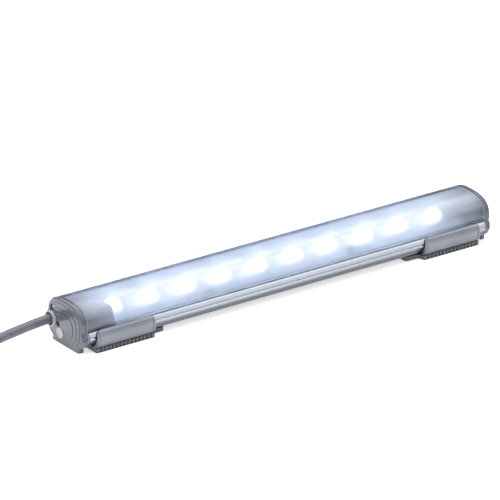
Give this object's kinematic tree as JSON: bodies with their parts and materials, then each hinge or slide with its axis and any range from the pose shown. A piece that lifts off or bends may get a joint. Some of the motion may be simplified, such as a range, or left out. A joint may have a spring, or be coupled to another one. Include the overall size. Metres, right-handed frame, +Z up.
{
  "type": "led strip batten",
  "caption": "Sealed LED bar light: frosted dome cover on an aluminium rail, moulded end caps, two sliding mounting clips, gland and round-plug cable.",
  "frame": {"origin": "middle of the lamp's footprint, on the surface that its clips and end feet stand on", "axes": "+X along the lamp away from the cable end, +Z up out of the mounting surface, +Y toward the side that the cable gland is on"},
  "size_m": [0.4729, 0.0608, 0.0287],
  "materials": {
    "anodised": "satin anodised",
    "frosted": "lightly frosted",
    "smoky": "moulded, glossy",
    "clip_plastic": "moulded, glossy",
    "rubber": "matt",
    "white_mask": "white solder mask",
    "lens": "moulded",
    "phosphor": "cast silicone",
    "block_plastic": "moulded",
    "light_grey": "moulded",
    "steel": "plated",
    "black_plastic": "moulded",
    "cable_pvc": "extruded",
    "brown_pvc": "extruded",
    "blue_pvc": "extruded",
    "plated_brass": "plated"
  },
  "bodies": {
    "lamp": {"board_screw_1": "steel", "board_screw_2": "steel", "cable_hank": "cable_pvc", "cable_inner": "cable_pvc", "cable_run": "cable_pvc", "cable_tail": "cable_pvc", "cap_screw_cable_1": "steel", "cap_screw_cable_2": "steel", "cap_screw_far_1": "steel", "cap_screw_far_2": "steel", "diffuser_cover": "frosted", "driver_chip_1": "black_plastic", "driver_chip_2": "black_plastic", "end_cap_cable": "smoky", "end_cap_far": "smoky", "gasket_cable": "rubber", "gasket_far": "rubber", "gland_body": "light_grey", "gland_seal": "rubber", "lead_blue": "blue_pvc", "lead_brown": "brown_pvc", "led_board": "white_mask", "led_chip_01": "phosphor", "led_chip_02": "phosphor", "led_chip_03": "phosphor", "led_chip_04": "phosphor", "led_chip_05": "phosphor", "led_chip_06": "phosphor", "led_chip_07": "phosphor", "led_chip_08": "phosphor", "led_chip_09": "phosphor", "led_chip_10": "phosphor", "led_lens_01": "lens", "led_lens_02": "lens", "led_lens_03": "lens", "led_lens_04": "lens", "led_lens_05": "lens", "led_lens_06": "lens", "led_lens_07": "lens", "led_lens_08": "lens", "led_lens_09": "lens", "led_lens_10": "lens", "plug_body": "black_plastic", "plug_pin_1": "plated_brass", "plug_pin_2": "plated_brass", "plug_pin_3": "plated_brass", "plug_pin_4": "plated_brass", "rail": "anodised", "resistor_1": "black_plastic", "resistor_2": "black_plastic", "resistor_3": "black_plastic", "resistor_4": "black_plastic", "resistor_5": "black_plastic", "terminal_block": "black_plastic", "terminal_hood": "block_plastic", "vent_plug_cable": "light_grey", "vent_plug_far": "light_grey"},
    "clip_cable_end": {"clip_cable": "clip_plastic"},
    "clip_far_end": {"clip_far": "clip_plastic"},
    "coupling_nut": {"plug_nut": "plated_brass"}
  },
  "joints": [
    {"name": "clip_cable_slide", "type": "slide", "parent": "lamp", "child": "clip_cable_end", "axis": [1, 0, 0], "range_m": [-0.003, 0.085]},
    {"name": "clip_far_slide", "type": "slide", "parent": "lamp", "child": "clip_far_end", "axis": [1, 0, 0], "range_m": [-0.085, 0.003]},
    {"name": "coupling_nut_turn", "type": "hinge", "parent": "lamp", "child": "coupling_nut", "pos_m": [-0.231, -0.01235, 0.0073], "axis": [1, 0, 0], "continuous": true}
  ]
}
